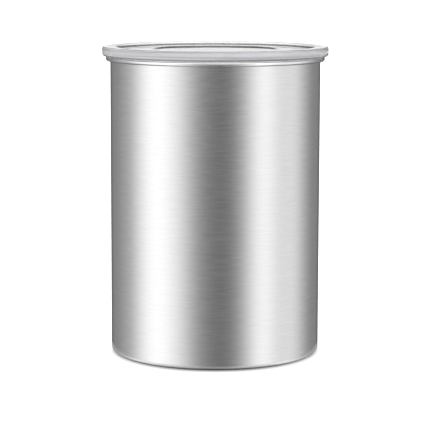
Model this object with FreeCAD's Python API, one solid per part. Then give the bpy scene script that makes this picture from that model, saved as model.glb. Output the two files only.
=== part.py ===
import FreeCAD, Part
import math
import os

# Vacuum seal canister, millimetres, +Z up.
# Origin: centre of the circle that the canister stands on.
# The canister is a drawn steel cup.  A clear cover presses over its rolled rim.
# Inside, a push-down inner lid slides on two silicone wipers.  Its folding bail
# handle turns a cross shaft whose cam opens a spring-closed vent valve.

V = FreeCAD.Vector
os.makedirs("parts", exist_ok=True)

# ---------------------------------------------------------------- driving sizes
# canister shell
BODY_R = 59.5            # outside radius of the steel body
WALL = 0.7               # sheet thickness
BODY_RI = BODY_R - WALL
BASE_RAD = 2.4           # radius of the bottom edge
FOOT_RI = 50.0           # inner edge of the flat ring it stands on
PANEL_R = 46.5           # raised middle of the base
PANEL_Z = 2.4            # how far the middle of the base is raised
CURL_R = 1.6             # outside radius of the rolled rim's inner half
CURL_Z = 167.4           # height of that half's centre
CURL_C = BODY_RI + CURL_R
CURL_CROWN_R = 1.35      # outside radius from the crown outwards
CURL_WIDE_Z = 167.1      # height of the rim's widest line
CURL_LOW_R = 1.3         # outside radius below the widest line

# outer lid
LID_R = 64.1
LID_TOP = 174.1
LID_LOW = 168.6          # lower edge of the skirt
LID_LOW_RAD = 1.5        # rounding of that edge
LID_SKIRT_IN = 61.45     # inside of the skirt
LID_CEIL = 172.1         # roof of the channel over the rolled rim
LID_CREST_R = 60.0       # where the ridge's top turns level
LIP_R = 56.4             # inside of the raised lip
LIP_Z = 173.9            # top of the lip
LIP_COVE = 1.2           # hollow rounding at the foot of the lip
LID_FLOOR = 172.5        # sunken ring inside the lip
WELL_R = 34.8            # sunken middle
WELL_FLOOR = 172.0
LID_T = 2.1
PLUG_R = 58.45           # plug skirt that enters the mouth
PLUG_RI = 56.6
PLUG_LOW = 162.5

# inner lid: heights are above its own underside, which stands at LID_Z
LID_Z = 106.0
FLANGE_R = 55.6
LAND_R = 52.0            # bottom of the wiper grooves
DECK_WALL_RI = 50.0      # inside of the deck's raised wall
DECK_RIM = 20.0
DECK_FLOOR = 11.5
DECK_UNDER = 9.3
SPLIT = 7.0              # joint between lower and upper moulding
WIPER_R = 58.55

# vent valve
RECESS_R = 13.2
SEAT_Z = 5.5
WEB_Z = 7.5
PORT_R = 7.5
GUIDE_R = 3.9
GUIDE_TOP = 10.0
STEM_R = 2.5
HEAD_R = 5.6
HEAD_LOW = 15.0
HEAD_TOP = 17.5
TOWER_R = 10.5
TOWER_BORE = 7.0
TOWER_TOP = 15.4
VALVE_LIFT = 3.0
WASHER_T = 0.5           # steel washer under the spring
SPRING_R = 4.6           # middle of the spring's wire
SPRING_WIRE_R = 0.4
SPRING_TURNS = 4

# handle, shaft and cam
AXLE_Z = 22.0
AXLE_R = 2.0
EAR_X0, EAR_X1 = 29.0, 33.0
HUB_X0, HUB_X1 = 33.5, 42.5
HUB_R = 5.5
BAIL_A, BAIL_B = 42.2, 40.0     # outer half-axes of the bail
BAIL_AI, BAIL_BI = 34.0, 31.0   # inner half-axes
BAIL_T = 7.0
CAM_R0 = 4.45                   # cam radius with the handle folded
CAM_K = VALVE_LIFT / (math.pi / 2.0)
CAM_W = 8.0                     # width of the lobe, which dips between the tower's walls
CAM_PIN_X = 8.6
HANDLE_PIN_X = 38.0

# clamp screws
SCREW_PCD = 32.0
SCREW_N = 6


# ---------------------------------------------------------------- helpers
def profile_edges(pts, closed=True):
    """Straight runs with rounded corners in the XZ half-plane; pts are (r, z, corner radius)."""
    n = len(pts)
    starts, ends, mids = [], [], []
    for i in range(n):
        r, z, rad = pts[i]
        p = V(r, 0, z)
        if rad <= 0 or (not closed and i in (0, n - 1)):
            starts.append(p); ends.append(p); mids.append(None)
            continue
        a = V(pts[i - 1][0], 0, pts[i - 1][1])
        b = V(pts[(i + 1) % n][0], 0, pts[(i + 1) % n][1])
        u = (a - p); u.normalize()
        w = (b - p); w.normalize()
        ang = u.getAngle(w)
        if abs(ang - math.pi) < 1e-6:
            starts.append(p); ends.append(p); mids.append(None)
            continue
        t = rad / math.tan(ang / 2.0)
        bis = (u + w); bis.normalize()
        centre = p + bis * (rad / math.sin(ang / 2.0))
        starts.append(p + u * t)
        ends.append(p + w * t)
        mids.append(centre - bis * rad)
    edges = []
    for i in range(n):
        if mids[i] is not None:
            edges.append(Part.Arc(starts[i], mids[i], ends[i]).toShape())
        j = (i + 1) % n
        if j == 0 and not closed:
            break
        if (starts[j] - ends[i]).Length > 1e-6:
            edges.append(Part.LineSegment(ends[i], starts[j]).toShape())
    return edges


def turned(edges):
    """Solid of revolution about Z from closed profile edges."""
    wire = Part.Wire(Part.__sortEdges__(edges))
    solid = Part.Face(wire).revolve(V(0, 0, 0), V(0, 0, 1), 360)
    if solid.ShapeType != "Solid":
        solid = solid.Solids[0]
    if solid.Volume < 0:
        solid.reverse()
    return solid


def lathe(pts):
    return turned(profile_edges(pts))


def lifted(pts, dz):
    return [(r, z + dz, rad) for (r, z, rad) in pts]


def cyl_z(radius, z0, z1, x=0.0, y=0.0):
    return Part.makeCylinder(radius, z1 - z0, V(x, y, z0), V(0, 0, 1))


def cyl_x(radius, x0, x1, y, z):
    return Part.makeCylinder(radius, x1 - x0, V(x0, y, z), V(1, 0, 0))


def box(x0, x1, y0, y1, z0, z1):
    return Part.makeBox(x1 - x0, y1 - y0, z1 - z0, V(x0, y0, z0))


def one(shape):
    shape = shape.removeSplitter()
    solids = shape.Solids
    if len(solids) != 1:
        raise RuntimeError("expected one solid, got %d" % len(solids))
    return solids[0]


def soften(shape, radius, pick):
    """Round the edges that pick() accepts; falls back to smaller radii."""
    edges = [e for e in shape.Edges if pick(e)]
    for k in (1.0, 0.7, 0.45):
        try:
            out = shape.makeFillet(radius * k, edges)
            if out.isValid() and len(out.Solids) == 1:
                return out.Solids[0]
        except Exception:
            pass
    return shape


def save(shape, name):
    if not shape.isValid():
        raise RuntimeError(name + " is not valid")
    shape.exportStep("parts/%s.step" % name)
    print("%-20s volume %9.1f mm3  solids %d" % (name, shape.Volume, len(shape.Solids)))


# ---------------------------------------------------------------- canister shell
def arc_edge(cr, cz, rad, a0, a1):
    """Arc in the XZ half-plane about (cr, cz), angles in degrees from +X."""
    pts = [V(cr + rad * math.cos(math.radians(a)), 0, cz + rad * math.sin(math.radians(a))) for a in (a0, (a0 + a1) / 2.0, a1)]
    return Part.Arc(*pts).toShape(), pts[0], pts[2]


def make_canister_shell():
    ri, ro = BODY_RI, BODY_R
    c, zc = CURL_C, CURL_Z
    wide = CURL_C + CURL_R
    # the rim's outer side is flatter above its widest line and tighter below it
    rise = CURL_Z + CURL_R - CURL_CROWN_R - CURL_WIDE_Z
    bend = 2.0 * math.degrees(math.atan((CURL_R - CURL_CROWN_R) / rise))
    side = CURL_CROWN_R + rise / math.sin(math.radians(bend))
    tip = -116.0                          # where the curl stops, just clear of the wall
    rolls = [
        (c, zc, CURL_R, 180.0, 90.0),
        (c, zc + CURL_R - CURL_CROWN_R, CURL_CROWN_R, 90.0, bend),
        (wide - side, CURL_WIDE_Z, side, bend, 0.0),
        (wide - CURL_LOW_R, CURL_WIDE_Z, CURL_LOW_R, 0.0, tip)]
    # inside, from the axis out and up to the curl
    inner = profile_edges([
        (0.0, PANEL_Z + WALL, 0.0),
        (PANEL_R + 0.35, PANEL_Z + WALL, 1.6),
        (FOOT_RI + 0.25, WALL, 1.2),
        (ri, WALL, BASE_RAD - WALL),
        (ri, zc, 0.0)], closed=False)
    out_side = [arc_edge(*a) for a in rolls]
    in_side = [arc_edge(cr, cz, rad - WALL, a1, a0) for cr, cz, rad, a0, a1 in reversed(rolls)]
    roll_out = [a[0] for a in out_side] + [Part.LineSegment(out_side[-1][2], in_side[0][1]).toShape()] + [a[0] for a in in_side]
    outer = profile_edges([
        (ro, zc, 0.0),
        (ro, 0.0, BASE_RAD),
        (FOOT_RI, 0.0, 1.2),
        (PANEL_R, PANEL_Z, 1.6),
        (0.0, PANEL_Z, 0.0)], closed=False)
    axis = [Part.LineSegment(V(0, 0, PANEL_Z), V(0, 0, PANEL_Z + WALL)).toShape()]
    return turned(inner + roll_out + outer + axis)


# ---------------------------------------------------------------- outer lid
def make_outer_lid():
    return lathe([
        (0.0, WELL_FLOOR, 0.0),
        (WELL_R, WELL_FLOOR, 0.3),
        (WELL_R + 0.95, LID_FLOOR, 0.3),
        (LIP_R, LID_FLOOR, LIP_COVE),
        (LIP_R, LIP_Z, 0.12),
        (LID_CREST_R, LID_TOP, 1.5),
        (LID_R, LID_TOP, 1.2),
        (LID_R, LID_LOW, LID_LOW_RAD),
        (LID_SKIRT_IN, LID_LOW, 0.12),
        (LID_SKIRT_IN, LID_CEIL, 0.3),
        (PLUG_R, LID_CEIL, 0.3),
        (PLUG_R, PLUG_LOW + 2.2, 1.0),
        (PLUG_R - 0.55, PLUG_LOW, 0.35),
        (PLUG_RI + 0.15, PLUG_LOW, 0.35),
        (PLUG_RI, LID_FLOOR - LID_T, 0.38),
        (WELL_R + 1.7, LID_FLOOR - LID_T, 0.3),
        (WELL_R + 1.2, WELL_FLOOR - LID_T, 0.3),
        (0.0, WELL_FLOOR - LID_T, 0.0)])


def make_lid_seal_ring():
    top, low = LID_CEIL - 0.06, CURL_Z + CURL_R + 0.06
    ri, ro = PLUG_R + 0.2, LID_SKIRT_IN - 0.2
    mid = (ri + ro) / 2.0
    # flat foot on the rim, two small ribs on top that grip the channel
    return lathe([
        (ri, low, 0.3), (ro, low, 0.3), (ro, top - 0.4, 0.15),
        (ro - 0.3, top, 0.1), (mid + 0.3, top, 0.1), (mid, top - 0.3, 0.1),
        (mid - 0.3, top, 0.1), (ri + 0.3, top, 0.1), (ri, top - 0.4, 0.15)])


# ---------------------------------------------------------------- inner lid mouldings
def screw_places():
    for k in range(SCREW_N):
        a = math.radians(30.0 + 360.0 / SCREW_N * k)
        yield SCREW_PCD * math.cos(a), SCREW_PCD * math.sin(a)


def make_inner_lid_base():
    h = LID_Z
    ring = lathe(lifted([
        (PORT_R, SEAT_Z, 0.0),
        (8.6, SEAT_Z, 0.1), (8.9, SEAT_Z - 0.5, 0.2), (9.5, SEAT_Z - 0.5, 0.2), (9.8, SEAT_Z, 0.1),
        (RECESS_R, SEAT_Z, 0.8),
        (RECESS_R, 0.0, 0.7),
        (FLANGE_R, 0.0, 1.1),
        (FLANGE_R, 2.5, 0.5),
        (LAND_R, 2.5, 0.0),
        (LAND_R, SPLIT, 0.0),
        (48.5, SPLIT, 0.0),
        (48.5, 2.5, 1.2),
        (15.2, 2.5, 1.2),
        (15.2, 8.5, 0.0),
        (13.3, 8.5, 0.0), (13.3, 6.9, 0.0), (11.5, 6.9, 0.0), (11.5, 8.5, 0.0),
        (10.0, 8.5, 0.0),
        (10.0, WEB_Z, 0.0),
        (PORT_R, WEB_Z, 0.0)], h))
    # stem guide held by three ribs across the port
    guide = cyl_z(GUIDE_R, h + SEAT_Z, h + GUIDE_TOP)
    parts = [guide]
    for k in range(3):
        rib = box(0, PORT_R + 0.6, -0.9, 0.9, h + SEAT_Z, h + WEB_Z)
        rib.rotate(V(0, 0, 0), V(0, 0, 1), 90 + 120 * k)
        parts.append(rib)
    for x, y in screw_places():
        parts.append(cyl_z(4.2, h + 2.0, h + SPLIT, x, y))
    body = ring.fuse(parts)
    cuts = [cyl_z(STEM_R + 0.08, h + SEAT_Z - 1, h + GUIDE_TOP + 1)]
    for x, y in screw_places():
        cuts.append(cyl_z(3.15, h - 1, h + 2.7, x, y))
        cuts.append(cyl_z(1.65, h, h + SPLIT + 1, x, y))
    return one(body.cut(cuts))


def make_inner_lid_deck():
    h = LID_Z
    wall_i = DECK_WALL_RI
    dish = lathe(lifted([
        (TOWER_BORE, 8.5, 0.0),
        (15.2, 8.5, 0.0), (15.2, DECK_UNDER, 0.0),
        (48.5, DECK_UNDER, 0.0), (48.5, SPLIT, 0.0),
        (FLANGE_R, SPLIT, 0.4), (FLANGE_R, 9.5, 0.4),
        (LAND_R, 9.5, 0.0), (LAND_R, 14.0, 0.0),
        (FLANGE_R, 14.0, 0.4), (FLANGE_R, 16.6, 0.8),
        (54.4, DECK_RIM, 1.6), (wall_i + 0.6, DECK_RIM, 1.6),
        (wall_i - 0.5, DECK_FLOOR, 2.6),
        (24.6, DECK_FLOOR, 0.6), (24.0, DECK_FLOOR + 0.8, 0.5),
        (TOWER_R + 0.3, DECK_FLOOR + 0.8, 1.4),
        (TOWER_R, TOWER_TOP, 0.8),
        (TOWER_BORE, TOWER_TOP, 0.6)], h))
    parts = []
    # two ears for the handle shaft, each a tapered upright plate with a round head
    for s in (-1, 1):
        x0 = EAR_X0 if s > 0 else -EAR_X1
        zt = AXLE_Z
        rad = 5.2
        foot = 10.5
        # tangent from the foot corner to the round head
        fx, fz = foot, DECK_FLOOR - 1.0
        dx, dz = -fx, zt - fz
        dist = math.hypot(dx, dz)
        base = math.atan2(dz, dx)
        off = math.asin(rad / dist)
        ln = math.sqrt(dist * dist - rad * rad)
        ty = fx + ln * math.cos(base - off)
        tz = fz + ln * math.sin(base - off)
        p = [V(x0, -foot, fz), V(x0, foot, fz), V(x0, ty, tz), V(x0, 0, zt + rad), V(x0, -ty, tz)]
        wire = Part.Wire([
            Part.LineSegment(p[0], p[1]).toShape(),
            Part.LineSegment(p[1], p[2]).toShape(),
            Part.Arc(p[2], p[3], p[4]).toShape(),
            Part.LineSegment(p[4], p[0]).toShape()])
        ear = Part.Face(wire).extrude(V(EAR_X1 - EAR_X0, 0, 0))
        ear = soften(ear, 0.7, lambda e: e.BoundBox.ZMax > DECK_FLOOR + 0.5 and e.BoundBox.XLength < 0.01)
        ear.translate(V(0, 0, h))
        # gusset towards the middle of the lid
        gx0 = EAR_X0 + 0.3 if s > 0 else -EAR_X0 - 0.3
        g = [V(gx0, 0, h + DECK_FLOOR - 1), V(gx0, 0, h + AXLE_Z - 6.2),
             V(gx0 - s * 9.0, 0, h + DECK_FLOOR), V(gx0 - s * 9.0, 0, h + DECK_FLOOR - 1)]
        gus = Part.Face(Part.makePolygon(g + [g[0]])).extrude(V(0, 2.4, 0))
        gus.translate(V(0, -1.2, 0))
        parts += [ear, gus]
    # screw bosses below the floor
    for x, y in screw_places():
        parts.append(cyl_z(4.2, h + SPLIT, h + DECK_FLOOR - 0.8, x, y))
    body = dish.fuse(parts)
    cuts = [cyl_x(AXLE_R + 0.06, -EAR_X1 - 2, EAR_X1 + 2, 0, h + AXLE_Z)]
    for x, y in screw_places():
        cuts.append(cyl_z(1.5, h + SPLIT - 1, h + 10.8, x, y))
    # vent windows round the tower
    for k in range(6):
        a = 360.0 / 6 * k + 30.0
        w = box(TOWER_BORE - 2, TOWER_R + 3, -2.2, 2.2, h + 12.2, h + 14.2)
        w = soften(w, 0.8, lambda e: e.BoundBox.XLength > 3.0)
        w.rotate(V(0, 0, 0), V(0, 0, 1), a)
        cuts.append(w)
    return one(body.cut(cuts))


def wiper(sign, mid):
    """Silicone wiper: a root in the groove and a lip that leans to the wall.
    sign -1 leans down, +1 leans up; mid is the height of the groove's middle."""
    tip = WIPER_R
    pts = [(LAND_R + 0.05, 2.1, 0.3), (55.3, 2.1, 0.2), (56.0, 1.75, 0.4), (57.0, 2.1, 0.6), (57.7, 3.6, 0.6),
           (tip, 3.95, 0.25), (tip, 2.75, 0.35), (57.9, 1.0, 0.8), (56.8, -0.2, 0.8), (55.3, -0.85, 0.3),
           (55.3, -2.1, 0.3), (LAND_R + 0.05, -2.1, 0.3)]
    if sign < 0:
        pts = [(r, -z, f) for (r, z, f) in reversed(pts)]
    return lathe([(r, z + LID_Z + mid, f) for (r, z, f) in pts])


def make_tower_o_ring():
    return Part.makeTorus(12.4, 0.78, V(0, 0, LID_Z + 7.7), V(0, 0, 1))


def cross_recess(x, y, z, depth, arm, width):
    a = box(x - arm, x + arm, y - width / 2, y + width / 2, z - 1, z + depth)
    b = box(x - width / 2, x + width / 2, y - arm, y + arm, z - 1, z + depth)
    return a.fuse(b)


def screw(x, y, z_head, head_h, head_r, shank_r, z_tip):
    """Pan-head screw pointing up, head at the bottom with a cross recess."""
    head = lathe([(0, z_head, 0), (head_r, z_head, 0.8), (head_r, z_head + head_h, 0.15),
                  (shank_r, z_head + head_h, 0), (shank_r, z_tip - 1.2, 0), (shank_r * 0.35, z_tip, 0), (0, z_tip, 0)])
    head.translate(V(x, y, 0))
    return head.cut(cross_recess(x, y, z_head, 0.9, head_r * 0.55, 0.75)).Solids[0]


def make_clamp_screws():
    h = LID_Z
    return Part.makeCompound([screw(x, y, h + 0.8, 1.85, 2.85, 1.42, h + 10.6) for x, y in screw_places()])


# ---------------------------------------------------------------- handle
def half_ellipse_face(ao, bo, ai, bi, x_flat=0.0):
    def arc(a, b):
        e = Part.Ellipse(V(0, 0, 0), max(a, b), min(a, b))
        if a >= b:
            return e.toShape(0, math.pi)
        raise RuntimeError("long axis must lie along X")
    out = arc(ao, bo)
    inn = arc(ai, bi)
    l1 = Part.LineSegment(V(-ao, 0, 0), V(-ai, 0, 0)).toShape()
    l2 = Part.LineSegment(V(ai, 0, 0), V(ao, 0, 0)).toShape()
    return Part.Face(Part.Wire(Part.__sortEdges__([out, l1, inn, l2])))


def make_bail_handle():
    z = LID_Z + AXLE_Z
    bail = half_ellipse_face(BAIL_A, BAIL_B, BAIL_AI, BAIL_BI).extrude(V(0, 0, BAIL_T))
    bail.translate(V(0, 0, z - BAIL_T / 2))
    bail = soften(bail, 2.4, lambda e: e.BoundBox.ZLength < 0.01 and e.BoundBox.YLength > 20)
    hubs = []
    for s in (-1, 1):
        x0 = HUB_X0 if s > 0 else -HUB_X1
        hub = cyl_x(HUB_R, x0, x0 + HUB_X1 - HUB_X0, 0, z)
        hub = soften(hub, 0.9, lambda e: e.BoundBox.XLength < 0.01)
        hubs.append(hub)
    body = bail.fuse(hubs)
    # the bail starts at the shaft's centre line, inside the round hubs
    cuts = [cyl_x(AXLE_R + 0.01, -HUB_X1 - 2, HUB_X1 + 2, 0, z)]
    cuts += [cyl_z(0.81, z - 8, z + 8, x, 0) for x in (HANDLE_PIN_X, -HANDLE_PIN_X)]
    return one(body.cut(cuts))


def make_handle_axle():
    z = LID_Z + AXLE_Z
    ax = cyl_x(AXLE_R, -HUB_X1 + 0.2, HUB_X1 - 0.2, 0, z)
    ax = ax.makeChamfer(0.4, [e for e in ax.Edges if e.BoundBox.XLength < 0.01])
    holes = [cyl_z(0.81, z - 5, z + 5, x, 0) for x in (CAM_PIN_X, HANDLE_PIN_X, -HANDLE_PIN_X)]
    return one(ax.cut(holes))


def make_valve_cam():
    z = LID_Z + AXLE_Z
    # section in the YZ plane: a circle when folded, growing evenly towards -Y so that
    # a flat follower goes down evenly as the handle comes up
    k, r0 = CAM_K, CAM_R0
    n = 24
    pts = []
    for i in range(n + 1):
        f = (math.pi / 2) * i / n
        pts.append(V(0, -(r0 + k * f) * math.sin(f) - k * math.cos(f), -(r0 + k * f) * math.cos(f) + k * math.sin(f)))
    curve = Part.BSplineCurve()
    curve.interpolate(pts)
    end = pts[-1]
    # back of the lobe: straight up a little, then over to the top of the circle
    knee = V(0, end.y, end.z + 0.6)
    top = V(0, 0, r0)
    back = Part.Arc(knee, V(0, -4.9, 4.55), top).toShape()
    front = Part.Arc(top, V(0, r0, 0), V(0, 0, -r0)).toShape()
    wire = Part.Wire(Part.__sortEdges__([
        curve.toShape(),
        Part.LineSegment(end, knee).toShape(),
        back, front,
        Part.LineSegment(V(0, 0, -r0), pts[0]).toShape()]))
    lobe = Part.Face(wire).extrude(V(CAM_W, 0, 0))
    lobe.translate(V(-CAM_W / 2.0, 0, z))
    hub = cyl_x(4.2, -11.5, 11.5, 0, z)
    hub = soften(hub, 0.6, lambda e: e.BoundBox.XLength < 0.01)
    body = lobe.fuse(hub)
    return one(body.cut([cyl_x(AXLE_R + 0.01, -14, 14, 0, z), cyl_z(0.81, z - 6, z + 6, CAM_PIN_X, 0)]))


def roll_pin(x, half):
    """Upright hollow pin through the shaft at x, split down one side."""
    z = LID_Z + AXLE_Z
    pin = cyl_z(0.8, z - half, z + half, x, 0)
    pin = pin.makeChamfer(0.2, [e for e in pin.Edges if e.BoundBox.ZLength < 0.01])
    slit = box(x, x + 2.0, -0.12, 0.12, z - half - 1, z + half + 1)
    return one(pin.cut([cyl_z(0.4, z - half - 1, z + half + 1, x, 0), slit]))


def make_cam_pin():
    return roll_pin(CAM_PIN_X, 4.0)


def make_handle_pins():
    return Part.makeCompound([roll_pin(HANDLE_PIN_X, 5.2), roll_pin(-HANDLE_PIN_X, 5.2)])


# ---------------------------------------------------------------- vent valve
WASHER_TOP = SEAT_Z - 0.5 - 0.05
WASHER_LOW = 3.4
PLUG_LOW_Z = 0.7


def make_valve_stem():
    h = LID_Z
    s = lathe(lifted([
        (0, WASHER_LOW, 0), (STEM_R, WASHER_LOW, 0.0), (STEM_R, HEAD_LOW, 0.3),
        (HEAD_R, HEAD_LOW, 0.5), (HEAD_R, HEAD_TOP, 0.7), (0, HEAD_TOP, 0)], h))
    return one(s.cut(cyl_z(1.45, h + WASHER_LOW - 1, h + 11.0)))


def make_valve_plug():
    h = LID_Z
    p = lathe(lifted([
        (1.65, PLUG_LOW_Z + 1.7, 0), (3.2, PLUG_LOW_Z + 1.7, 0), (3.2, PLUG_LOW_Z, 0.3),
        (11.8, PLUG_LOW_Z, 1.0), (11.8, WASHER_LOW, 0.4), (1.65, WASHER_LOW, 0)], h))
    return p


def make_valve_washer():
    h = LID_Z
    return lathe(lifted([
        (STEM_R + 0.02, WASHER_LOW, 0.0), (11.2, WASHER_LOW, 0.3), (11.2, WASHER_TOP, 0.5), (STEM_R + 0.02, WASHER_TOP, 0.2)], h))


def make_plug_screw():
    h = LID_Z
    return screw(0, 0, h + PLUG_LOW_Z + 0.1, 1.55, 2.9, 1.42, h + 10.2)


def make_spring_washer():
    """Flat steel washer that spreads the spring over the guide's three ribs."""
    h = LID_Z
    return lathe(lifted([
        (GUIDE_R + 0.1, WEB_Z, 0.1), (5.6, WEB_Z, 0.1), (5.6, WEB_Z + WASHER_T, 0.1), (GUIDE_R + 0.1, WEB_Z + WASHER_T, 0.1)], h))


def make_valve_spring():
    """Round-wire compression spring, its helix laid out as short tangent arcs."""
    h = LID_Z
    z0 = h + WEB_Z + WASHER_T + SPRING_WIRE_R
    z1 = h + HEAD_LOW - SPRING_WIRE_R
    rise = (z1 - z0) / SPRING_TURNS

    def at(a):
        return V(SPRING_R * math.cos(a), SPRING_R * math.sin(a), z0 + rise * a / (2 * math.pi))

    n = int(SPRING_TURNS * 6)
    step = 2 * math.pi * SPRING_TURNS / n
    path = Part.Wire([Part.Arc(at(i * step), at((i + 0.5) * step), at((i + 1) * step)).toShape() for i in range(n)])
    section = Part.Wire([Part.Circle(at(0), V(0, 2 * math.pi * SPRING_R, rise), SPRING_WIRE_R).toShape()])
    coil = path.makePipeShell([section], True, True)
    if coil.ShapeType != "Solid":
        coil = coil.Solids[0]
    return coil


# ---------------------------------------------------------------- write the nodes
def main():
    save(make_canister_shell(), "canister_shell")
    save(make_outer_lid(), "outer_lid")
    save(make_lid_seal_ring(), "lid_seal_ring")
    save(make_inner_lid_base(), "inner_lid_base")
    save(make_inner_lid_deck(), "inner_lid_deck")
    save(wiper(-1, (2.5 + SPLIT) / 2), "lower_wiper_seal")
    save(wiper(1, (9.5 + 14.0) / 2), "upper_wiper_seal")
    save(make_tower_o_ring(), "tower_o_ring")
    save(make_clamp_screws(), "clamp_screws")
    save(make_bail_handle(), "bail_handle")
    save(make_handle_axle(), "handle_axle")
    save(make_valve_cam(), "valve_cam")
    save(make_cam_pin(), "cam_pin")
    save(make_handle_pins(), "handle_pins")
    save(make_valve_stem(), "valve_stem")
    save(make_valve_plug(), "valve_plug")
    save(make_valve_washer(), "valve_washer")
    save(make_plug_screw(), "plug_screw")
    save(make_spring_washer(), "spring_washer")
    save(make_valve_spring(), "valve_spring")


main()
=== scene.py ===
import bpy
import math
from mathutils import Matrix, Vector


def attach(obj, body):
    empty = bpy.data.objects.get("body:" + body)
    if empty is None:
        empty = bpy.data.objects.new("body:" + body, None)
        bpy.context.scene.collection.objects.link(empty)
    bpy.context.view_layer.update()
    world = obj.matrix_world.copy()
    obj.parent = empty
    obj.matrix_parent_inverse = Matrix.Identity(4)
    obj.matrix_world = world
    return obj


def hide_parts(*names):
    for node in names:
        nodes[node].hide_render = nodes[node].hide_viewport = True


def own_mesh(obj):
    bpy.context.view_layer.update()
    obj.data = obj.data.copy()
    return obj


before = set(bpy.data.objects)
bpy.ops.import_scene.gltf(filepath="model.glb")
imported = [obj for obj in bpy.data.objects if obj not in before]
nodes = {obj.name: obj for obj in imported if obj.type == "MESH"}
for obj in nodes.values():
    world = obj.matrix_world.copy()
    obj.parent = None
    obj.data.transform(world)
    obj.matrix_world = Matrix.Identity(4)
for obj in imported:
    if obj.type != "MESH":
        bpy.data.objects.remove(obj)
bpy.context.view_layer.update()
MM = 0.001

scene = bpy.context.scene
scene.view_settings.view_transform = "Standard"
scene.cycles.use_denoising = True


# ------------------------------------------------------------------ outlines
# An outline lives in the (radius, height) half-plane, in millimetres.  It is kept as
# spans (p0, t0, p1, t1, m): end points, unit tangents there, and a material number.
def arc(cx, cz, rad, a0, a1, step=11.0, m=0):
    k = max(2, math.ceil(abs(a1 - a0) / step))
    s = 1.0 if a1 > a0 else -1.0
    out = []
    for i in range(k):
        pair = []
        for a in (a0 + (a1 - a0) * i / k, a0 + (a1 - a0) * (i + 1) / k):
            c, n = math.cos(math.radians(a)), math.sin(math.radians(a))
            pair += [Vector((cx + rad * c, cz + rad * n)), Vector((-n * s, c * s))]
        out.append((*pair, m))
    return out


def run(p, q, m=0, longest=12.0):
    t = (q - p).normalized()
    k = max(1, math.ceil((q - p).length / longest))
    return [(p + (q - p) * i / k, t, p + (q - p) * (i + 1) / k, t, m) for i in range(k)]


def rounded(pts, closed=True, m=0, step=11.0, longest=12.0):
    """Outline through (r, z, corner radius) points."""
    n = len(pts)
    ends = []
    for i in range(n):
        p = Vector(pts[i][:2])
        rad = pts[i][2]
        if rad > 0 and (closed or 0 < i < n - 1):
            u = (Vector(pts[i - 1][:2]) - p).normalized()
            w = (Vector(pts[(i + 1) % n][:2]) - p).normalized()
            ang = u.angle(w)
            if math.pi - ang > 1e-4:
                t = rad / math.tan(ang / 2)
                c = p + (u + w).normalized() * (rad / math.sin(ang / 2))
                ends.append((p + u * t, p + w * t, c, rad))
                continue
        ends.append((p, p, None, 0.0))
    out = []
    for i in range(n):
        s, e, c, rad = ends[i]
        if c is not None:
            a0 = math.degrees(math.atan2(s.y - c.y, s.x - c.x))
            a1 = math.degrees(math.atan2(e.y - c.y, e.x - c.x))
            a1 = a0 + (a1 - a0 + 180.0) % 360.0 - 180.0
            out += arc(c.x, c.y, rad, a0, a1, step, m)
        j = (i + 1) % n
        if j == 0 and not closed:
            break
        q = ends[j][0]
        if (q - e).length > 1e-6:
            out += run(e, q, m, longest)
    return out


def turn(name, spans, body, mats, segs=256):
    """Turned piece with exact normals, its outline swept round Z."""
    spans = [s for s in spans if max(s[0].x, s[2].x) > 1e-6]
    area = sum(s[0].x * s[2].y - s[2].x * s[0].y for s in spans)
    rings, verts = {}, []

    def ring(p):
        key = (round(p.x, 5), round(p.y, 5))
        if key not in rings:
            rings[key] = len(verts)
            if p.x < 1e-6:
                verts.append((0.0, 0.0, p.y * MM))
            else:
                for j in range(segs):
                    a = 2 * math.pi * j / segs
                    verts.append((p.x * MM * math.cos(a), p.x * MM * math.sin(a), p.y * MM))
        return rings[key]

    faces, normals, uvs, index = [], [], [], []
    flip = area > 0
    v = 0.0
    for p0, t0, p1, t1, m in spans:
        a, b = ring(p0), ring(p1)
        length = (p1 - p0).length
        pole0, pole1 = p0.x < 1e-6, p1.x < 1e-6
        for j in range(segs):
            k = (j + 1) % segs
            q = [(a if pole0 else a + j, j, t0, v), (b if pole1 else b + j, j, t1, v + length),
                 (b if pole1 else b + k, j + 1, t1, v + length), (a if pole0 else a + k, j + 1, t0, v)]
            if pole0:
                q = q[:3]
            elif pole1:
                q = [q[0], q[1], q[3]]
            if flip:
                q.reverse()
            faces.append([c[0] for c in q])
            index.append(m)
            for _, jj, t, vv in q:
                ang = 2 * math.pi * jj / segs
                nr, nz = (t.y, -t.x) if flip else (-t.y, t.x)
                normals.append((nr * math.cos(ang), nr * math.sin(ang), nz))
                uvs += [jj / segs, vv * 0.002]
        v += length
    me = bpy.data.meshes.new(name)
    me.from_pydata(verts, [], faces)
    me.polygons.foreach_set("use_smooth", [True] * len(faces))
    me.polygons.foreach_set("material_index", index)
    layer = me.uv_layers.new(name="UVMap")
    layer.data.foreach_set("uv", uvs)
    for mat in mats:
        me.materials.append(mat)
    me.update()
    me.normals_split_custom_set(normals)
    ob = bpy.data.objects.new(name, me)
    scene.collection.objects.link(ob)
    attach(ob, body)
    return ob


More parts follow.
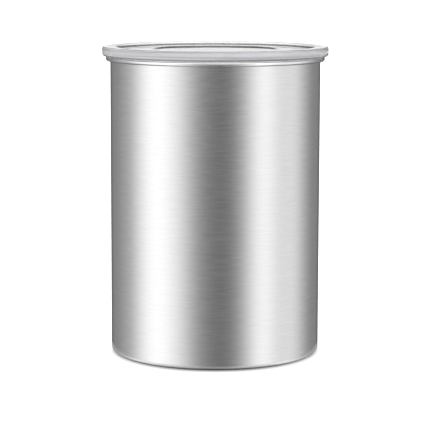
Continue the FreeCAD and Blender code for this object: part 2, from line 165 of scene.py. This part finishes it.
# ------------------------------------------------------------------ material helpers
class Tree:
    """Small helper that adds and links shader nodes."""

    def __init__(self, name):
        self.mat = bpy.data.materials.new(name)
        self.mat.use_nodes = True
        self.nt = self.mat.node_tree
        self.bsdf = self.nt.nodes["Principled BSDF"]
        self.coord = self.nt.nodes.new("ShaderNodeTexCoord").outputs["Object"]

    def put(self, **sockets):
        for k, val in sockets.items():
            self.bsdf.inputs[k.replace("_", " ")].default_value = val

    def node(self, kind, **props):
        n = self.nt.nodes.new(kind)
        for k, val in props.items():
            setattr(n, k, val)
        return n

    def join(self, a, b):
        self.nt.links.new(a, b)

    def noise(self, scale, detail=3.0, rough=0.55, offset=(0, 0, 0), coord=None):
        mp = self.node("ShaderNodeMapping")
        mp.inputs["Scale"].default_value = scale
        mp.inputs["Location"].default_value = offset
        self.join(coord or self.coord, mp.inputs["Vector"])
        t = self.node("ShaderNodeTexNoise")
        t.inputs["Scale"].default_value = 1.0
        t.inputs["Detail"].default_value = detail
        t.inputs["Roughness"].default_value = rough
        self.join(mp.outputs[0], t.inputs["Vector"])
        return t.outputs["Fac"]

    def span(self, value, lo, hi, a=0.3, b=0.7):
        n = self.node("ShaderNodeMapRange")
        n.inputs["From Min"].default_value = a
        n.inputs["From Max"].default_value = b
        n.inputs["To Min"].default_value = lo
        n.inputs["To Max"].default_value = hi
        self.join(value, n.inputs["Value"])
        return n.outputs["Result"]

    def math(self, op, a, b=None):
        n = self.node("ShaderNodeMath", operation=op)
        for i, x in enumerate((a, b)):
            if x is None:
                continue
            if isinstance(x, (int, float)):
                n.inputs[i].default_value = x
            else:
                self.join(x, n.inputs[i])
        return n.outputs[0]

    def tint(self, value, low, high):
        """Colour between low and high by a value from 0 to 1."""
        n = self.node("ShaderNodeMix", data_type="RGBA")
        n.inputs[6].default_value = (*low, 1)
        n.inputs[7].default_value = (*high, 1)
        self.join(value, n.inputs[0])
        return n.outputs[2]

    def bump(self, height, strength, distance, after=None):
        n = self.node("ShaderNodeBump")
        n.inputs["Strength"].default_value = strength
        n.inputs["Distance"].default_value = distance
        self.join(height, n.inputs["Height"])
        if after is not None:
            self.join(after, n.inputs["Normal"])
        return n.outputs["Normal"]

    def out(self, colour=None, rough=None, normal=None):
        for sock, name in ((colour, "Base Color"), (rough, "Roughness"), (normal, "Normal")):
            if sock is not None:
                self.join(sock, self.bsdf.inputs[name])
        return self.mat


def brushed(name, low, high, rough, aniso, streak=1.0):
    """Steel with fine brush lines that run round the axis."""
    t = Tree(name)
    t.put(Metallic=1.0, Anisotropic=aniso, Anisotropic_Rotation=0.25)
    tan = t.node("ShaderNodeTangent", direction_type="RADIAL", axis="Z")
    t.join(tan.outputs[0], t.bsdf.inputs["Tangent"])
    fine = t.noise((150, 150, 2600), 0.0, 0.5)
    mid = t.noise((110, 110, 1500), 0.0, 0.5, (7.1, 3.3, 1.9))
    broad = t.noise((30, 30, 260), 1.0, 0.5, (2.7, 9.2, 4.4))
    cloud = t.noise((16, 16, 11), 1.0, 0.5, (5.5, 1.4, 8.3))
    mixed = t.math("ADD", t.math("MULTIPLY", fine, 0.4), t.math("MULTIPLY", mid, 0.6))
    mixed = t.math("ADD", t.math("MULTIPLY", mixed, 0.85), t.math("MULTIPLY", broad, 0.15))
    level = t.math("ADD", t.math("MULTIPLY", mixed, 0.9), t.math("MULTIPLY", cloud, 0.1))
    colour = t.tint(t.span(level, 0.0, 1.0, 0.3, 0.7), low, high)
    r = t.math("ADD", t.span(mixed, rough - 0.022 * streak, rough + 0.022 * streak, 0.34, 0.66), t.span(cloud, -0.004, 0.004))
    return t.out(colour, r, t.bump(mixed, 0.04 * streak, 0.00004))


# ------------------------------------------------------------------ materials
steel_body = brushed("steel_brushed_body", (0.674, 0.674, 0.678), (0.728, 0.728, 0.732), 0.217, 0.3)
steel_inside = brushed("steel_brushed_inside", (0.60, 0.60, 0.605), (0.69, 0.69, 0.692), 0.36, 0.4, 1.15)


def make_polished():
    t = Tree("steel_polished_rim")
    t.put(Metallic=1.0)
    a = t.noise((260, 260, 1800), 2.0)
    b = t.noise((60, 60, 60), 2.0, 0.5, (3, 1, 2))
    colour = t.tint(t.span(b, 0.0, 1.0), (0.78, 0.78, 0.783), (0.84, 0.84, 0.842))
    return t.out(colour, t.span(a, 0.08, 0.13), t.bump(a, 0.03, 0.00003))


def make_curl_painted_shade():
    """Underside of the rolled rim, rougher, and darkened as painted shade under the rim."""
    t = Tree("steel_rim_underside_painted_shade")
    t.put(Metallic=1.0)
    a = t.noise((180, 180, 2400), 2.0)
    b = t.noise((90, 90, 90), 2.0, 0.5, (1, 3, 5))
    # colour well below the rest of the steel: painted shade under the rim
    colour = t.tint(t.span(b, 0.0, 1.0), (0.38, 0.38, 0.384), (0.46, 0.46, 0.464))
    return t.out(colour, t.span(a, 0.22, 0.30), t.bump(a, 0.04, 0.00003))


def make_base_steel():
    """Underside: mill finish with faint rings left by drawing."""
    t = Tree("steel_drawn_base")
    t.put(Metallic=1.0)
    sep = t.node("ShaderNodeSeparateXYZ")
    t.join(t.coord, sep.inputs[0])
    r2 = t.math("ADD", t.math("MULTIPLY", sep.outputs[0], sep.outputs[0]), t.math("MULTIPLY", sep.outputs[1], sep.outputs[1]))
    radius = t.math("SQRT", r2)
    vec = t.node("ShaderNodeCombineXYZ")
    t.join(radius, vec.inputs[0])
    t.join(sep.outputs[2], vec.inputs[2])
    rings = t.noise((900, 1, 300), 3.0, 0.6, (0, 0, 0), vec.outputs[0])
    grain = t.noise((2600, 2600, 2600), 2.0, 0.6)
    both = t.math("ADD", t.math("MULTIPLY", rings, 0.6), t.math("MULTIPLY", grain, 0.4))
    colour = t.tint(t.span(both, 0.0, 1.0), (0.58, 0.58, 0.585), (0.68, 0.68, 0.682))
    return t.out(colour, t.span(both, 0.30, 0.44), t.bump(both, 0.12, 0.00005))


def make_clear():
    t = Tree("clear_lid_plastic")
    t.put(Transmission_Weight=0.955, IOR=1.50, Base_Color=(0.965, 0.967, 0.980, 1))
    flow = t.noise((30, 30, 30), 2.0, 0.5)
    dust = t.noise((900, 900, 900), 2.0, 0.6, (4, 2, 6))
    r = t.math("ADD", t.span(flow, 0.012, 0.035), t.span(dust, 0.0, 0.02))
    return t.out(None, r, t.bump(flow, 0.02, 0.0002))


def make_frosted(name, low, high):
    """Side of the cover, finely etched, with faint flow lines that run round it."""
    t = Tree(name)
    t.put(Transmission_Weight=0.69, IOR=1.50)
    etch = t.noise((2200, 2200, 2200), 2.0, 0.6)
    flow = t.noise((9, 9, 620), 1.0, 0.5, (1, 6, 3))
    colour = t.tint(t.span(flow, 0.0, 1.0, 0.36, 0.58), low, high)
    r = t.math("ADD", t.span(etch, 0.24, 0.26), t.span(flow, 0.0, 0.008))
    return t.out(colour, r, t.bump(etch, 0.10, 0.00004))


def make_silicone(name, low, high, rough, through, sss):
    t = Tree(name)
    t.put(Transmission_Weight=through, IOR=1.41, Subsurface_Weight=sss, Subsurface_Scale=0.002,
          Sheen_Weight=0.06, Sheen_Roughness=0.4, Specular_IOR_Level=0.42)
    skin = t.noise((1500, 1500, 1500), 3.0, 0.6)
    cloud = t.noise((70, 70, 70), 2.0, 0.5, (1, 5, 2))
    colour = t.tint(t.span(cloud, 0.0, 1.0), low, high)
    r = t.math("ADD", t.span(skin, rough - 0.06, rough + 0.06), t.span(cloud, -0.03, 0.03))
    return t.out(colour, r, t.bump(skin, 0.12, 0.00008))


def make_texture_plastic(name, low, high, rough, grain, depth, strength):
    """Moulded plastic with a spark-eroded texture and faint handling marks."""
    t = Tree(name)
    t.put(IOR=1.48, Specular_IOR_Level=0.5)
    spark = t.noise((grain, grain, grain), 3.0, 0.65)
    rub = t.noise((55, 55, 55), 3.0, 0.6, (6, 2, 3))
    scratch = t.noise((90, 1600, 400), 2.0, 0.5, (2, 8, 1))
    both = t.math("ADD", t.math("MULTIPLY", spark, 0.55), t.math("MULTIPLY", rub, 0.45))
    colour = t.tint(t.span(both, 0.0, 1.0, 0.32, 0.68), low, high)
    r = t.math("ADD", t.span(spark, rough - 0.05, rough + 0.05), t.span(rub, -0.05, 0.05))
    r = t.math("ADD", r, t.span(scratch, 0.0, 0.05, 0.60, 0.72))
    return t.out(colour, r, t.bump(spark, strength, depth))


def make_acetal():
    t = Tree("acetal_white")
    t.put(IOR=1.48, Subsurface_Weight=0.25, Subsurface_Scale=0.0015)
    a = t.noise((300, 300, 300), 3.0, 0.6)
    b = t.noise((60, 60, 60), 2.0, 0.5, (4, 4, 1))
    colour = t.tint(t.span(b, 0.0, 1.0), (0.80, 0.79, 0.755), (0.86, 0.852, 0.82))
    return t.out(colour, t.span(a, 0.30, 0.44), t.bump(a, 0.05, 0.00006))


def make_turned_steel(name, low, high, rough, scale):
    t = Tree(name)
    t.put(Metallic=1.0)
    lines = t.noise(scale, 3.0, 0.6)
    cloud = t.noise((240, 240, 240), 2.0, 0.5, (3, 7, 2))
    both = t.math("ADD", t.math("MULTIPLY", lines, 0.65), t.math("MULTIPLY", cloud, 0.35))
    colour = t.tint(t.span(both, 0.0, 1.0, 0.33, 0.67), low, high)
    return t.out(colour, t.span(both, rough - 0.06, rough + 0.07), t.bump(lines, 0.08, 0.00003))


steel_rim = make_polished()
steel_curl_painted_shade = make_curl_painted_shade()
steel_base = make_base_steel()
clear_plastic = make_clear()
frosted_plastic = make_frosted("frosted_lid_side", (0.66, 0.663, 0.688), (0.96, 0.963, 0.995))
# darker copy of the frosted side for the cover's lower rounding: painted shade under the cover's edge
edge_plastic_painted_shade = make_frosted("frosted_lid_edge_painted_shade", (0.27, 0.272, 0.283), (0.42, 0.422, 0.437))
grey_rubber = make_silicone("grey_silicone", (0.30, 0.305, 0.31), (0.36, 0.365, 0.37), 0.52, 0.0, 0.12)
deck_plastic = make_texture_plastic("charcoal_plastic", (0.022, 0.0225, 0.024), (0.036, 0.037, 0.039), 0.50, 2600, 0.00012, 0.35)
handle_plastic = make_texture_plastic("satin_black_plastic", (0.012, 0.0122, 0.013), (0.021, 0.0212, 0.0225), 0.36, 3600, 0.00006, 0.18)
acetal = make_acetal()
pin_steel = make_turned_steel("bright_stainless", (0.60, 0.60, 0.595), (0.72, 0.72, 0.715), 0.24, (4200, 900, 900))
wire_steel = make_turned_steel("spring_wire", (0.46, 0.46, 0.465), (0.58, 0.58, 0.585), 0.28, (900, 900, 2600))


# ------------------------------------------------------------------ canister shell
def make_shell():
    inside, rim, outside, under, shaded_curl = 1, 2, 0, 3, 4
    sp = rounded([(0.0, 3.1, 0.0), (46.85, 3.1, 1.6), (50.25, 0.7, 1.2), (58.8, 0.7, 1.7), (58.8, 165.9, 0.0)], closed=False, m=inside)
    sp += run(Vector((58.8, 165.9)), Vector((58.8, 167.4)), rim)
    # rolled rim: its outer side is flatter above the widest line and tighter below it
    bend = 2 * math.degrees(math.atan(0.25 / 0.55))
    side = 1.35 + 0.55 / math.sin(math.radians(bend))
    rolls = [(60.4, 167.4, 1.6, 180.0, 90.0), (60.4, 167.65, 1.35, 90.0, bend), (62.0 - side, 167.1, side, bend, 0.0), (60.7, 167.1, 1.3, 0.0, -116.0)]
    for cx, cz, rad, a0, a1 in rolls[:3]:
        sp += arc(cx, cz, rad, a0, a1, 8.0, rim)
    sp += arc(60.7, 167.1, 1.3, 0.0, -28.0, 7.0, rim)
    # the lower part of the curl takes the darker steel: painted shade under the rim
    sp += arc(60.7, 167.1, 1.3, -28.0, -116.0, 8.0, shaded_curl)
    a = math.radians(-116.0)
    sp += run(Vector((60.7 + 1.3 * math.cos(a), 167.1 + 1.3 * math.sin(a))), Vector((60.7 + 0.6 * math.cos(a), 167.1 + 0.6 * math.sin(a))), rim)
    for cx, cz, rad, a0, a1 in reversed(rolls):
        sp += arc(cx, cz, rad - 0.7, a1, a0, 12.0, rim)
    sp += rounded([(59.5, 167.4, 0.0), (59.5, 0.0, 2.4), (57.0, 0.0, 0.0)], closed=False, m=outside)
    sp += rounded([(57.0, 0.0, 0.0), (50.0, 0.0, 1.2), (46.5, 2.4, 1.6), (0.0, 2.4, 0.0)], closed=False, m=under)
    ob = turn("canister_shell_steel", sp, "canister", [steel_body, steel_inside, steel_rim, steel_base, steel_curl_painted_shade], 320)
    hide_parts("canister_shell")


make_shell()


# ------------------------------------------------------------------ clear cover and its seal
def make_cover():
    sp = rounded([
        (0.0, 172.0, 0.0), (34.8, 172.0, 0.3), (35.75, 172.5, 0.3), (56.4, 172.5, 1.2), (56.4, 173.9, 0.12),
        (60.0, 174.1, 1.5), (64.1, 174.1, 1.2), (64.1, 168.6, 1.5), (61.45, 168.6, 0.12),
        (61.45, 172.1, 0.3), (58.45, 172.1, 0.3), (58.45, 164.7, 1.0), (57.9, 162.5, 0.35), (56.75, 162.5, 0.35),
        (56.6, 170.4, 0.38), (36.5, 170.4, 0.3), (36.0, 169.9, 0.3), (0.0, 169.9, 0.0)], step=9.0)
    # the side above takes the frosted finish; its lower rounding takes the darker copy, painted shade under the
    # cover's edge
    sp = [(*c[:4], 1 if c[0].y > 169.7 else 2) if min(c[0].x, c[2].x) > 62.0 and c[0].y < 174.05 else c for c in sp]
    ob = turn("outer_lid_clear", sp, "cover", [clear_plastic, frosted_plastic, edge_plastic_painted_shade], 320)
    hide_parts("outer_lid")
    top, low, ri, ro = 172.04, 169.06, 58.65, 61.25
    mid = (ri + ro) / 2
    sp = rounded([
        (ri, low, 0.3), (ro, low, 0.3), (ro, top - 0.4, 0.15), (ro - 0.3, top, 0.1), (mid + 0.3, top, 0.1),
        (mid, top - 0.3, 0.1), (mid - 0.3, top, 0.1), (ri + 0.3, top, 0.1), (ri, top - 0.4, 0.15)], step=15.0)
    ob = turn("lid_seal_ring_silicone", sp, "cover", [grey_rubber], 256)
    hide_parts("lid_seal_ring")


make_cover()


# ------------------------------------------------------------------ inner lid's wiper seals
def make_wiper(name, node, sign, mid):
    pts = [(52.05, 2.1, 0.3), (55.3, 2.1, 0.2), (56.0, 1.75, 0.4), (57.0, 2.1, 0.6), (57.7, 3.6, 0.6),
           (58.55, 3.95, 0.25), (58.55, 2.75, 0.35), (57.9, 1.0, 0.8), (56.8, -0.2, 0.8), (55.3, -0.85, 0.3),
           (55.3, -2.1, 0.3), (52.05, -2.1, 0.3)]
    if sign < 0:
        pts = [(r, -z, f) for r, z, f in reversed(pts)]
    ob = turn(name, rounded([(r, z + 106.0 + mid, f) for r, z, f in pts], step=15.0), "inner_lid", [grey_rubber], 256)
    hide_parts(node)


make_wiper("lower_wiper_silicone", "lower_wiper_seal", -1, 4.75)
make_wiper("upper_wiper_silicone", "upper_wiper_seal", 1, 11.75)


# ------------------------------------------------------------------ valve spring
def make_spring():
    """Round wire with closed end coils."""
    rad, wire, turns, per, sides = 4.6, 0.4, 4.0, 36, 12
    z0, z1, closed, flat = 114.4, 120.6, 0.75, 0.85
    rise = (z1 - z0 - 2 * closed * flat) / (turns - 2 * closed)

    def height(u):
        if u < closed:
            return z0 + flat * u
        if u > turns - closed:
            return z1 - flat * (turns - u)
        return z0 + flat * closed + rise * (u - closed)

    n = int(turns * per)
    path = []
    for i in range(n + 1):
        u = turns * i / n
        h = sum(height(min(turns, max(0.0, u + d))) for d in (-0.06, -0.03, 0, 0.03, 0.06)) / 5 if 0 < i < n else height(u)
        a = 2 * math.pi * u
        path.append(Vector((rad * math.cos(a), rad * math.sin(a), h)))
    verts, faces = [], []
    for i, p in enumerate(path):
        t = (path[min(n, i + 1)] - path[max(0, i - 1)]).normalized()
        out = Vector((p.x, p.y, 0)).normalized()
        up = t.cross(out).normalized()
        out = up.cross(t).normalized()
        for k in range(sides):
            b = 2 * math.pi * k / sides
            verts.append((p + out * (wire * math.cos(b)) + up * (wire * math.sin(b))) * MM)
    for i in range(n):
        for k in range(sides):
            q = (k + 1) % sides
            faces.append([i * sides + k, i * sides + q, (i + 1) * sides + q, (i + 1) * sides + k])
    faces.append(list(range(sides))[::-1])
    faces.append([n * sides + k for k in range(sides)])
    me = bpy.data.meshes.new("valve_spring_wire")
    me.from_pydata(verts, [], faces)
    vol = sum((me.vertices[f[0]].co.cross(me.vertices[f[1]].co)).dot(me.vertices[f[2]].co) for f in faces[:-2])
    if vol < 0:
        me.flip_normals()
    me.polygons.foreach_set("use_smooth", [len(f.vertices) == 4 for f in me.polygons])
    me.materials.append(wire_steel)
    me.update()
    ob = bpy.data.objects.new("valve_spring_wire", me)
    scene.collection.objects.link(ob)
    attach(ob, "inner_lid")
    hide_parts("valve_spring")
    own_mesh(ob)


make_spring()


# ------------------------------------------------------------------ finishes of the other pieces
finish = {
    "inner_lid_deck": deck_plastic, "inner_lid_base": deck_plastic, "valve_plug": deck_plastic,
    "bail_handle": handle_plastic, "valve_cam": acetal, "valve_stem": acetal,
    "tower_o_ring": grey_rubber, "valve_washer": grey_rubber,
    "clamp_screws": pin_steel, "plug_screw": pin_steel, "handle_axle": pin_steel,
    "cam_pin": pin_steel, "handle_pins": pin_steel, "spring_washer": pin_steel,
}
for name, mat in finish.items():
    ob = nodes[name]
    if not ob.material_slots:
        ob.data.materials.append(mat)
    for s in ob.material_slots:
        s.material = mat


# ------------------------------------------------------------------ floor
def make_floor():
    me = bpy.data.meshes.new("floor")
    n, big = 96, 40.0
    ring = [(big * math.cos(2 * math.pi * i / n), big * math.sin(2 * math.pi * i / n), -0.0002) for i in range(n)]
    me.from_pydata(ring, [], [list(range(n))])
    # white card, with a soft contact shadow painted into its colour and glow close to the foot
    t = Tree("floor_white_painted_shadow")
    mat = t.mat
    t.put(Roughness=0.9, Specular_IOR_Level=0.0, Emission_Strength=0.4)
    move = t.node("ShaderNodeVectorMath", operation="ADD")
    move.inputs[1].default_value = (0, 0.006, 0)
    t.join(t.coord, move.inputs[0])
    flat = t.node("ShaderNodeVectorMath", operation="MULTIPLY")
    flat.inputs[1].default_value = (1, 1, 0)
    t.join(move.outputs[0], flat.inputs[0])
    far = t.node("ShaderNodeVectorMath", operation="LENGTH")
    t.join(flat.outputs[0], far.inputs[0])
    # painted shadow: darker colour and weaker glow within about 64 mm of a point 6 mm in front of the axis
    painted_shadow_fade = t.span(far.outputs["Value"], 0.0, 1.0, 0.0500, 0.0637)
    painted_shadow_fade.node.interpolation_type = "SMOOTHSTEP"
    t.join(t.tint(painted_shadow_fade, (0.12, 0.12, 0.12), (0.80, 0.80, 0.80)), t.bsdf.inputs["Base Color"])
    t.join(t.tint(painted_shadow_fade, (0.05, 0.05, 0.05), (1, 1, 1)), t.bsdf.inputs["Emission Color"])
    me.materials.append(mat)
    ob = bpy.data.objects.new("floor", me)
    scene.collection.objects.link(ob)
    ob.visible_glossy = False
    # the patch of floor next to the foot, which only the steel mirrors
    me = bpy.data.meshes.new("floor_patch")
    me.from_pydata([(0.0670 * math.cos(2 * math.pi * i / n), 0.0608 * math.sin(2 * math.pi * i / n), -0.0001) for i in range(n)], [], [list(range(n))])
    # painted light and shade: paler to the left and right of the foot's front, where more light falls on it, darker
    # straight in front and beyond the sides
    t = Tree("floor_patch_painted_light")
    t.put(Roughness=0.9, Specular_IOR_Level=0.0)
    sep = t.node("ShaderNodeSeparateXYZ")
    t.join(t.coord, sep.inputs[0])
    off = t.math("ABSOLUTE", sep.outputs[0])
    painted_light_band = t.math("MULTIPLY", t.span(off, 0.0, 1.0, 0.004, 0.036), t.span(off, 1.0, 0.08, 0.044, 0.058))
    t.join(t.tint(painted_light_band, (0.36, 0.36, 0.36), (0.92, 0.92, 0.92)), t.bsdf.inputs["Base Color"])
    me.materials.append(t.mat)
    ob = bpy.data.objects.new("floor_patch", me)
    scene.collection.objects.link(ob)
    ob.visible_camera = ob.visible_diffuse = ob.visible_transmission = ob.visible_shadow = False


make_floor()


# ------------------------------------------------------------------ studio light
# Soft light by direction: a narrow strip on the left, a broad one on the right, a large
# panel overhead and a dim room elsewhere.  Angles are round Z, from the side facing -Y.
def make_world():
    world = bpy.data.worlds.new("studio")
    scene.world = world
    world.use_nodes = True
    nt = world.node_tree
    nt.nodes.clear()

    def node(kind, **props):
        n = nt.nodes.new(kind)
        for k, val in props.items():
            setattr(n, k, val)
        return n

    def calc(op, a, b=None, c=None):
        n = node("ShaderNodeMath", operation=op)
        for i, x in enumerate((a, b, c)):
            if x is None:
                continue
            if isinstance(x, (int, float)):
                n.inputs[i].default_value = x
            else:
                nt.links.new(x, n.inputs[i])
        return n.outputs[0]

    def smooth(value, a, b):
        n = node("ShaderNodeMapRange", interpolation_type="SMOOTHSTEP")
        n.inputs["From Min"].default_value = a
        n.inputs["From Max"].default_value = b
        nt.links.new(value, n.inputs["Value"])
        return n.outputs["Result"]

    coord = node("ShaderNodeTexCoord")
    sep = node("ShaderNodeSeparateXYZ")
    nt.links.new(coord.outputs["Generated"], sep.inputs[0])
    x, y, z = sep.outputs
    az = calc("MULTIPLY", calc("ARCTAN2", x, calc("MULTIPLY", y, -1.0)), 180.0 / math.pi)

    def lobe(value, centre, width, power):
        d = calc("DIVIDE", calc("SUBTRACT", value, centre), width)
        e = calc("POWER", math.e, calc("MULTIPLY", calc("MULTIPLY", d, d), -0.5))
        return calc("MULTIPLY", e, power)

    far = calc("ABSOLUTE", az)
    room = calc("ADD", 0.168, calc("MULTIPLY", smooth(far, 100.0, 125.0), 0.182))
    room = calc("SUBTRACT", room, calc("MULTIPLY", smooth(far, 148.0, 165.0), 0.21))
    total = calc("ADD", lobe(az, -66.0, 27.0, 1.72), room)
    total = calc("ADD", total, lobe(az, -37.0, 10.0, 0.12))
    total = calc("ADD", total, lobe(az, 54.0, 17.2, 1.48))
    total = calc("ADD", total, lobe(az, 95.0, 15.5, 1.00))

    def over(below, share, above):
        return calc("ADD", calc("MULTIPLY", below, calc("SUBTRACT", 1.0, share)), calc("MULTIPLY", above, share))

    # fill from above the camera, white backdrop behind, overhead panel
    fill = calc("SUBTRACT", 1.85, calc("MULTIPLY", smooth(far, 50.0, 90.0), 0.75))
    fill = calc("SUBTRACT", fill, calc("MULTIPLY", smooth(far, 125.0, 160.0), 0.90))
    total = over(total, smooth(z, 0.16, 0.27), fill)
    above = smooth(z, 0.22, 0.32)
    above.node.name = "backdrop_top"
    beneath = calc("SUBTRACT", 1.0, above)
    total = over(total, calc("MULTIPLY", smooth(far, 169.0, 176.0), beneath), 1.25)
    total = over(total, smooth(z, 0.66, 0.86), 1.5)
    # the pale floor as it is mirrored from below
    low = calc("MULTIPLY", z, -1.0)
    total = over(total, calc("MULTIPLY", smooth(low, 0.26, 0.40), 0.24), 0.75)
    # paper and plastics are lit a little more than metal mirrors
    path = node("ShaderNodeLightPath")
    total = calc("MULTIPLY", total, calc("ADD", 1.0, calc("MULTIPLY", path.outputs["Is Diffuse Ray"], 0.7)))

    light = node("ShaderNodeBackground")
    nt.links.new(total, light.inputs["Strength"])
    white = node("ShaderNodeBackground")
    white.inputs["Color"].default_value = (1, 1, 1, 1)
    white.inputs["Strength"].default_value = 1.02
    mix = node("ShaderNodeMixShader")
    around = smooth(far, 120.0, 130.0)
    around.node.name = "backdrop_side"
    behind = calc("MULTIPLY", path.outputs["Is Transmission Ray"], calc("MULTIPLY", around, beneath))
    seen = calc("MAXIMUM", path.outputs["Is Camera Ray"], behind)
    nt.links.new(seen, mix.inputs[0])
    nt.links.new(light.outputs[0], mix.inputs[1])
    nt.links.new(white.outputs[0], mix.inputs[2])
    out = node("ShaderNodeOutputWorld")
    nt.links.new(mix.outputs[0], out.inputs["Surface"])


make_world()


# ------------------------------------------------------------------ camera
def make_camera():
    data = bpy.data.cameras.new("camera")
    data.sensor_width = 36.0
    data.lens = 154.1
    data.clip_start, data.clip_end = 0.05, 200.0
    data.dof.use_dof = False
    cam = bpy.data.objects.new("camera", data)
    scene.collection.objects.link(cam)
    cam.matrix_world = (Matrix.Translation((0.0, -1.0451, 0.2256))
                        @ Matrix.Rotation(math.radians(90.0 - 8.07), 4, "X")
                        @ Matrix.Rotation(0.0023, 4, "Z"))
    scene.camera = cam


make_camera()
